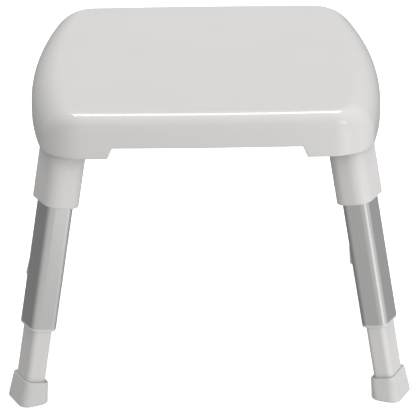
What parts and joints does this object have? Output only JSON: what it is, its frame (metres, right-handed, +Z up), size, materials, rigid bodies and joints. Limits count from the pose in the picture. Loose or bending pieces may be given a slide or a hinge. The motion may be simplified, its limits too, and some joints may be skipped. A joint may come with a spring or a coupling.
{
  "type": "shower stool",
  "caption": "Free-standing shower stool: smooth moulded seat with rolled edges on four splayed telescopic legs, aluminium tubes, push-button locks and rubber feet.",
  "frame": {"origin": "on the floor, under the middle of the seat", "axes": "+Z up, front towards -Y, +X to the right as seen from the front, so left is -X"},
  "size_m": [0.5584, 0.5158, 0.42],
  "materials": {
    "seat_plastic": "white moulded polypropylene, satin gloss",
    "anodised_aluminium": "satin anodised extrusion, fine lines along its length",
    "button_plastic": "light grey moulded plastic",
    "foot_rubber": "light grey soft rubber, matt",
    "steel": "stainless steel, plain"
  },
  "bodies": {
    "stool": {"seat_shell": "seat_plastic", "front_left_socket": "seat_plastic", "front_right_socket": "seat_plastic", "rear_left_socket": "seat_plastic", "rear_right_socket": "seat_plastic", "front_left_tube": "anodised_aluminium", "front_right_tube": "anodised_aluminium", "rear_left_tube": "anodised_aluminium", "rear_right_tube": "anodised_aluminium", "front_left_bush": "seat_plastic", "front_right_bush": "seat_plastic", "rear_left_bush": "seat_plastic", "rear_right_bush": "seat_plastic", "socket_screws": "steel", "tube_screws": "steel"},
    "front_left_leg": {"front_left_inner_leg": "seat_plastic", "front_left_foot": "foot_rubber", "front_left_spring": "steel"},
    "front_left_button": {"front_left_button": "button_plastic"},
    "front_right_leg": {"front_right_inner_leg": "seat_plastic", "front_right_foot": "foot_rubber", "front_right_spring": "steel"},
    "front_right_button": {"front_right_button": "button_plastic"},
    "rear_left_leg": {"rear_left_inner_leg": "seat_plastic", "rear_left_foot": "foot_rubber", "rear_left_spring": "steel"},
    "rear_left_button": {"rear_left_button": "button_plastic"},
    "rear_right_leg": {"rear_right_inner_leg": "seat_plastic", "rear_right_foot": "foot_rubber", "rear_right_spring": "steel"},
    "rear_right_button": {"rear_right_button": "button_plastic"}
  },
  "joints": [
    {"name": "front_left_leg_slide", "type": "slide", "parent": "stool", "child": "front_left_leg", "axis": [-0.1596, -0.0903, -0.983], "range_m": [0, 0.15]},
    {"name": "front_left_button_press", "type": "slide", "parent": "front_left_leg", "child": "front_left_button", "axis": [-0.8916, -0.4143, 0.1828], "range_m": [0, 0.0056], "stiffness_N_per_m": 600, "springref_m": -0.008, "deforming": ["front_left_spring"]},
    {"name": "front_right_leg_slide", "type": "slide", "parent": "stool", "child": "front_right_leg", "axis": [0.1596, -0.0903, -0.983], "range_m": [0, 0.15]},
    {"name": "front_right_button_press", "type": "slide", "parent": "front_right_leg", "child": "front_right_button", "axis": [0.8916, -0.4143, 0.1828], "range_m": [0, 0.0056], "stiffness_N_per_m": 600, "springref_m": -0.008, "deforming": ["front_right_spring"]},
    {"name": "rear_left_leg_slide", "type": "slide", "parent": "stool", "child": "rear_left_leg", "axis": [-0.1596, 0.0903, -0.983], "range_m": [0, 0.15]},
    {"name": "rear_left_button_press", "type": "slide", "parent": "rear_left_leg", "child": "rear_left_button", "axis": [-0.8916, 0.4143, 0.1828], "range_m": [0, 0.0056], "stiffness_N_per_m": 600, "springref_m": -0.008, "deforming": ["rear_left_spring"]},
    {"name": "rear_right_leg_slide", "type": "slide", "parent": "stool", "child": "rear_right_leg", "axis": [0.1596, 0.0903, -0.983], "range_m": [0, 0.15]},
    {"name": "rear_right_button_press", "type": "slide", "parent": "rear_right_leg", "child": "rear_right_button", "axis": [0.8916, 0.4143, 0.1828], "range_m": [0, 0.0056], "stiffness_N_per_m": 600, "springref_m": -0.008, "deforming": ["rear_right_spring"]}
  ]
}
